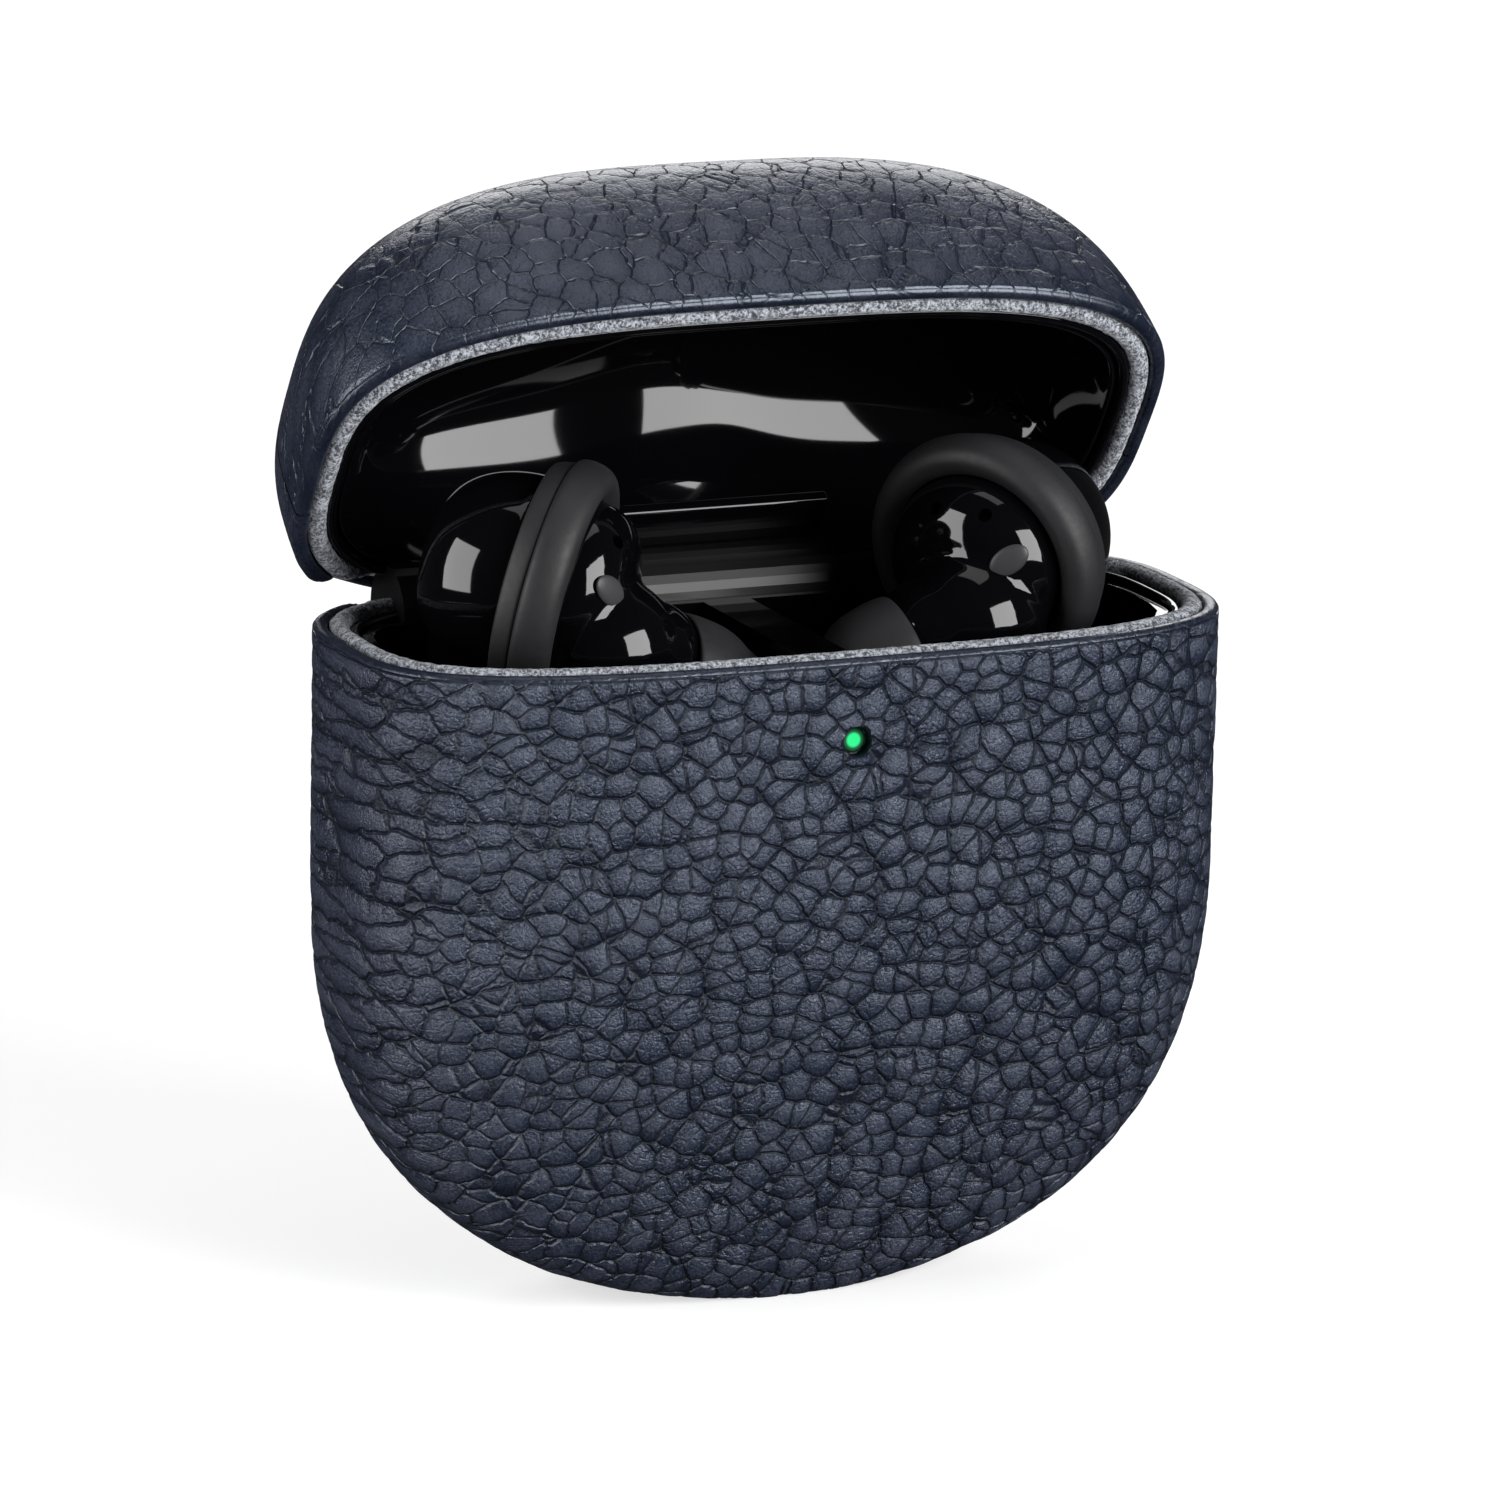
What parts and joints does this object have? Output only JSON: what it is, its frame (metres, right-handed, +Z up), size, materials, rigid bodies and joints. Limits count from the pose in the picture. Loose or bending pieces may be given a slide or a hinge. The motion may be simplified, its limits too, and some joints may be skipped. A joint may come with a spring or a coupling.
{
  "type": "wireless earbuds case",
  "caption": "Rounded pocket case with a hinged lid, leather-covered body and lid, glossy cradle, rear button and charging socket, holding two earbuds with ear tips.",
  "frame": {"origin": "centre of the flat foot under the body", "axes": "+X to the right seen from the front, -Y to the front, +Y to the hinge, +Z up; the lid stands open"},
  "size_m": [0.0638, 0.0425, 0.0771],
  "materials": {
    "navy_leather": "pebbled, semi-matte",
    "grey_microfibre": "short nap",
    "black_plastic": "fine satin",
    "gloss_black": "polished",
    "satin_black": "satin",
    "grey_silicone": "matte",
    "steel": "plain",
    "gold_contact": "gold-plated",
    "cell_foil": "foil wrap",
    "circuit_board": "solder mask",
    "smoked_lens": "smoked clear",
    "green_lamp": "lit"
  },
  "bodies": {
    "case": {"battery": "cell_foil", "battery_frame": "black_plastic", "body_leather_back": "navy_leather", "body_leather_front": "navy_leather", "body_lining": "grey_microfibre", "body_magnet": "steel", "body_shell": "black_plastic", "contact_block_left": "gold_contact", "contact_block_right": "gold_contact", "cradle_magnet_left": "steel", "cradle_magnet_right": "steel", "cradle_tray": "gloss_black", "hinge_bracket_left": "satin_black", "hinge_bracket_right": "satin_black", "hinge_pin": "steel", "hinge_spring_left": "steel", "hinge_spring_right": "steel", "light_pipe": "smoked_lens", "main_board": "circuit_board", "pairing_switch": "steel", "status_led": "green_lamp", "tray_screw_left": "steel", "tray_screw_right": "steel", "usb_socket": "steel"},
    "lid": {"lid_leather_back": "navy_leather", "lid_leather_front": "navy_leather", "lid_liner": "gloss_black", "lid_lining": "grey_microfibre", "lid_magnet": "steel", "lid_shell": "black_plastic", "hinge_barrel": "satin_black"},
    "pairing_button": {"pairing_button": "black_plastic"},
    "left_earbud": {"bud_board_left": "circuit_board", "bud_cap_left": "gloss_black", "bud_cell_left": "cell_foil", "bud_housing_left": "gloss_black", "charge_pad_left_front": "gold_contact", "charge_pad_left_rear": "gold_contact", "driver_left": "steel", "ear_tip_left": "grey_silicone", "nozzle_mesh_left": "steel", "sensor_window_left": "smoked_lens", "stability_band_left": "grey_silicone"},
    "right_earbud": {"bud_board_right": "circuit_board", "bud_cap_right": "gloss_black", "bud_cell_right": "cell_foil", "bud_housing_right": "gloss_black", "charge_pad_right_front": "gold_contact", "charge_pad_right_rear": "gold_contact", "driver_right": "steel", "ear_tip_right": "grey_silicone", "nozzle_mesh_right": "steel", "sensor_window_right": "smoked_lens", "stability_band_right": "grey_silicone"}
  },
  "joints": [
    {"name": "lid_hinge", "type": "hinge", "parent": "case", "child": "lid", "pos_m": [0, 0.01184, 0.04682], "axis": [1, 0, 0], "range_deg": [0, 56]},
    {"name": "button_press", "type": "slide", "parent": "case", "child": "pairing_button", "axis": [0, -1, 0], "range_m": [0, 0.0004], "stiffness_N_per_m": 400},
    {"name": "left_earbud_lift", "type": "slide", "parent": "case", "child": "left_earbud", "axis": [0, 0, 1], "range_m": [0, 0.0012]},
    {"name": "right_earbud_lift", "type": "slide", "parent": "case", "child": "right_earbud", "axis": [0, 0, 1], "range_m": [0, 0.0012]}
  ]
}
